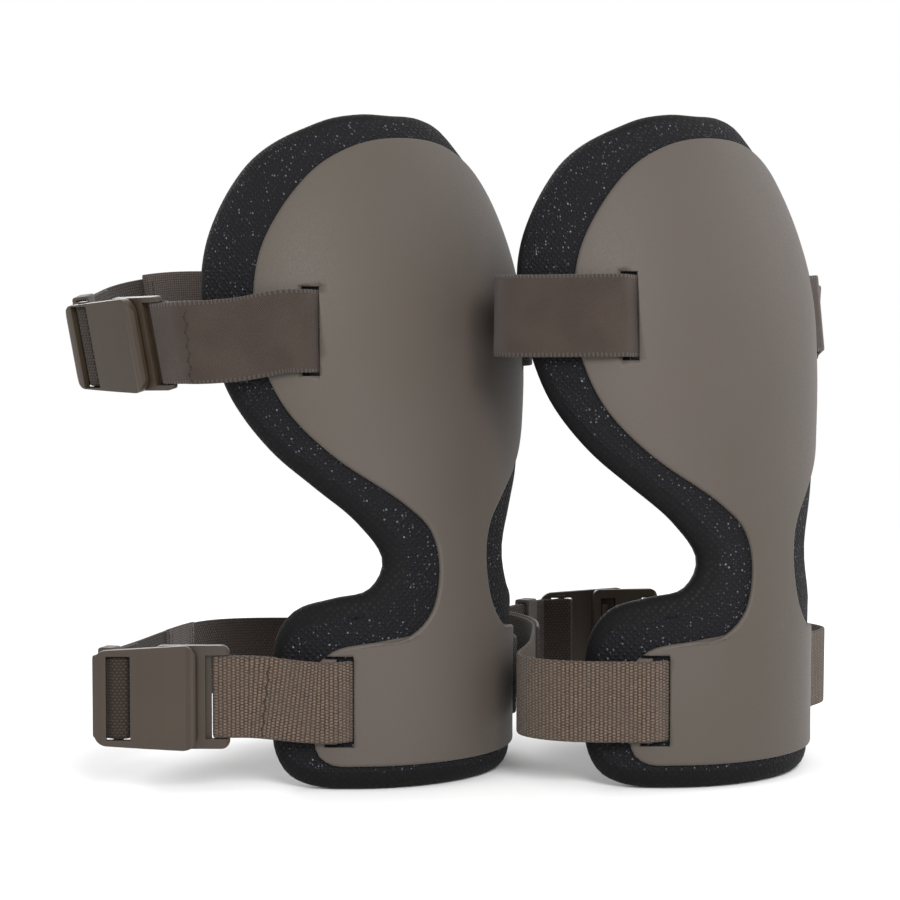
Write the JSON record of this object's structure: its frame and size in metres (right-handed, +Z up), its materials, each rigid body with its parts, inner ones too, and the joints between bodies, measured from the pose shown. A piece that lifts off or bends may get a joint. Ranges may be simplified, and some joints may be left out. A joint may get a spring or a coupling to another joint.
{
  "type": "knee pads",
  "caption": "Hourglass knee pads with a moulded cap over thick laminated foam, clip buckles and elastic and webbing straps above and below the calf",
  "frame": {"origin": "centre of the pair's footprint on the floor", "axes": "+Z up the shins, the knees face -Y, the left pad is at -X and its buckles are on its -X side"},
  "size_m": [0.2971, 0.2258, 0.2493],
  "materials": {
    "shell": "matte, faintly mottled",
    "pebbled_skin": "pebbled knit",
    "foam": "closed-cell foam",
    "lining": "smooth knit",
    "lower_elastic": "coarse ribbed weave",
    "upper_elastic": "smooth twill",
    "webbing": "woven",
    "buckle": "satin",
    "keeper": "stitched tape"
  },
  "bodies": {
    "left_pad": {"left_shell_cap": "shell", "left_face_fabric": "pebbled_skin", "left_foam_core": "foam", "left_comfort_foam": "foam", "left_inner_liner": "lining", "left_lower_elastic_band": "lower_elastic", "left_lower_loop_frame": "buckle", "left_lower_webbing_tail": "webbing", "left_lower_rear_webbing": "webbing", "left_upper_elastic_band": "upper_elastic", "left_upper_loop_frame": "buckle", "left_upper_webbing_tail": "webbing", "left_upper_rear_webbing": "webbing"},
    "left_lower_plate": {"left_lower_hook_plate": "buckle", "left_lower_webbing_loop": "webbing"},
    "left_lower_keeper_body": {"left_lower_keeper": "keeper"},
    "left_upper_plate": {"left_upper_hook_plate": "buckle", "left_upper_webbing_loop": "webbing"},
    "left_upper_keeper_body": {"left_upper_keeper": "keeper"},
    "right_pad": {"right_shell_cap": "shell", "right_face_fabric": "pebbled_skin", "right_foam_core": "foam", "right_comfort_foam": "foam", "right_inner_liner": "lining", "right_lower_elastic_band": "lower_elastic", "right_lower_loop_frame": "buckle", "right_lower_webbing_tail": "webbing", "right_lower_rear_webbing": "webbing", "right_upper_elastic_band": "upper_elastic", "right_upper_loop_frame": "buckle", "right_upper_webbing_tail": "webbing", "right_upper_rear_webbing": "webbing"},
    "right_lower_plate": {"right_lower_hook_plate": "buckle", "right_lower_webbing_loop": "webbing"},
    "right_lower_keeper_body": {"right_lower_keeper": "keeper"},
    "right_upper_plate": {"right_upper_hook_plate": "buckle", "right_upper_webbing_loop": "webbing"},
    "right_upper_keeper_body": {"right_upper_keeper": "keeper"}
  },
  "joints": [
    {"name": "pads_apart", "type": "slide", "parent": "left_pad", "child": "right_pad", "axis": [0.7071, -0.7071, 0], "range_m": [0, 0.3]},
    {"name": "left_lower_plate_hinge", "type": "hinge", "parent": "left_pad", "child": "left_lower_plate", "pos_m": [-0.14598, 0.05255, 0.0356], "axis": [0, 0, -1], "range_deg": [0, 70]},
    {"name": "left_lower_keeper_slide", "type": "slide", "parent": "left_pad", "child": "left_lower_keeper_body", "axis": [0.8848, 0.4659, 0], "range_m": [0, 0.01]},
    {"name": "left_upper_plate_hinge", "type": "hinge", "parent": "left_pad", "child": "left_upper_plate", "pos_m": [-0.13048, 0.07995, 0.1628], "axis": [0.2006, -0.0214, -0.9794], "range_deg": [0, 70]},
    {"name": "left_upper_keeper_slide", "type": "slide", "parent": "left_pad", "child": "left_upper_keeper_body", "axis": [0.8376, 0.5223, 0.1602], "range_m": [0, 0.01]},
    {"name": "right_lower_plate_hinge", "type": "hinge", "parent": "right_pad", "child": "right_lower_plate", "pos_m": [0.07402, 0.03075, 0.039], "axis": [0, 0, 1], "range_deg": [0, 70]},
    {"name": "right_lower_keeper_slide", "type": "slide", "parent": "right_pad", "child": "right_lower_keeper_body", "axis": [-0.9752, -0.2212, 0], "range_m": [0, 0.01]},
    {"name": "right_upper_plate_hinge", "type": "hinge", "parent": "right_pad", "child": "right_upper_plate", "pos_m": [0.14102, -0.00225, 0.1683], "axis": [0.2006, 0.0214, 0.9794], "range_deg": [0, 70]},
    {"name": "right_upper_keeper_slide", "type": "slide", "parent": "right_pad", "child": "right_upper_keeper_body", "axis": [-0.8376, 0.5223, 0.1602], "range_m": [0, 0.01]}
  ]
}
